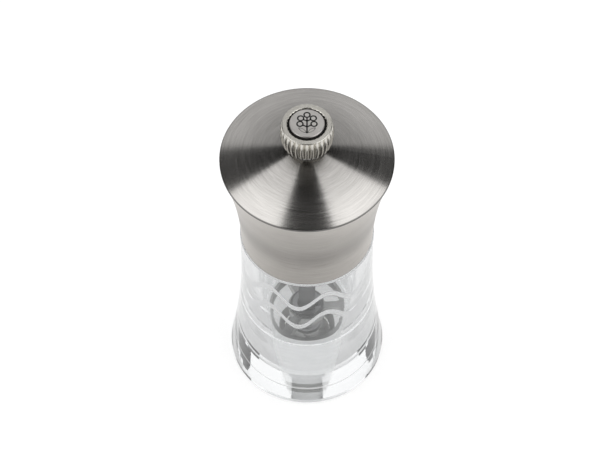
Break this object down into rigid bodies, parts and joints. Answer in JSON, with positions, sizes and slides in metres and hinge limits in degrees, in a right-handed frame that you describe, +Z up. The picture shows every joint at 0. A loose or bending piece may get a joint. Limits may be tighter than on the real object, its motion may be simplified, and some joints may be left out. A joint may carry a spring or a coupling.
{
  "type": "pepper mill",
  "caption": "Hand-turned pepper mill with a clear waisted body, a flared brushed steel head and a fluted knob that sets the grind.",
  "frame": {"origin": "centre of the foot's resting face, on the grinding axis", "axes": "+Z up along the grinding axis, towards the knob; +Y away from the side that the medallion's sprig is read from; +X to its right"},
  "size_m": [0.0602, 0.0602, 0.1399],
  "materials": {
    "clear_acrylic": "clear, polished",
    "brushed_steel": "fine circular brushing",
    "burr_steel": "machined, hardened",
    "fastener_steel": "plain zinc",
    "black_plastic": "moulded, fine matte",
    "pale_plastic": "moulded, natural",
    "rubber": "smooth",
    "black_enamel": "filled enamel"
  },
  "bodies": {
    "body": {"clear_body": "clear_acrylic", "neck_o_ring": "rubber", "burr_housing": "pale_plastic", "bridge": "fastener_steel", "guide_bush": "fastener_steel", "grinding_ring": "burr_steel", "base_plate": "brushed_steel", "base_plate_screws": "fastener_steel"},
    "drive": {"spring_washer": "fastener_steel", "burr_spring": "fastener_steel"},
    "shaft": {"drive_shaft": "brushed_steel", "grinding_cone": "burr_steel", "burr_washer": "fastener_steel", "burr_nut": "fastener_steel", "shaft_circlip": "fastener_steel"},
    "head": {"head_skirt": "brushed_steel", "head_cone": "brushed_steel", "head_core": "black_plastic", "drive_plate": "brushed_steel", "drive_plate_screws": "fastener_steel", "neck_ring": "pale_plastic", "knob_washer": "pale_plastic"},
    "knob": {"adjusting_knob": "brushed_steel", "medallion_seat": "black_plastic", "medallion": "brushed_steel", "medallion_sprig": "black_enamel"}
  },
  "joints": [
    {"name": "mill_turn", "type": "hinge", "parent": "body", "child": "drive", "pos_m": [0, 0, 0.076], "axis": [0, 0, 1], "continuous": true},
    {"name": "burr_lift", "type": "slide", "parent": "drive", "child": "shaft", "axis": [0, 0, 1], "range_m": [0, 0.0012], "deforming": ["burr_spring"]},
    {"name": "head_lift", "type": "slide", "parent": "drive", "child": "head", "axis": [0, 0, 1], "range_m": [0, 0.065]},
    {"name": "knob_turn", "type": "hinge", "parent": "head", "child": "knob", "pos_m": [0, 0, 0.13], "axis": [0, 0, 1], "range_deg": [-540, 0]}
  ],
  "couplings": [
    {"joint": "knob_turn", "follows": "burr_lift", "rad_per_m": -7854}
  ]
}
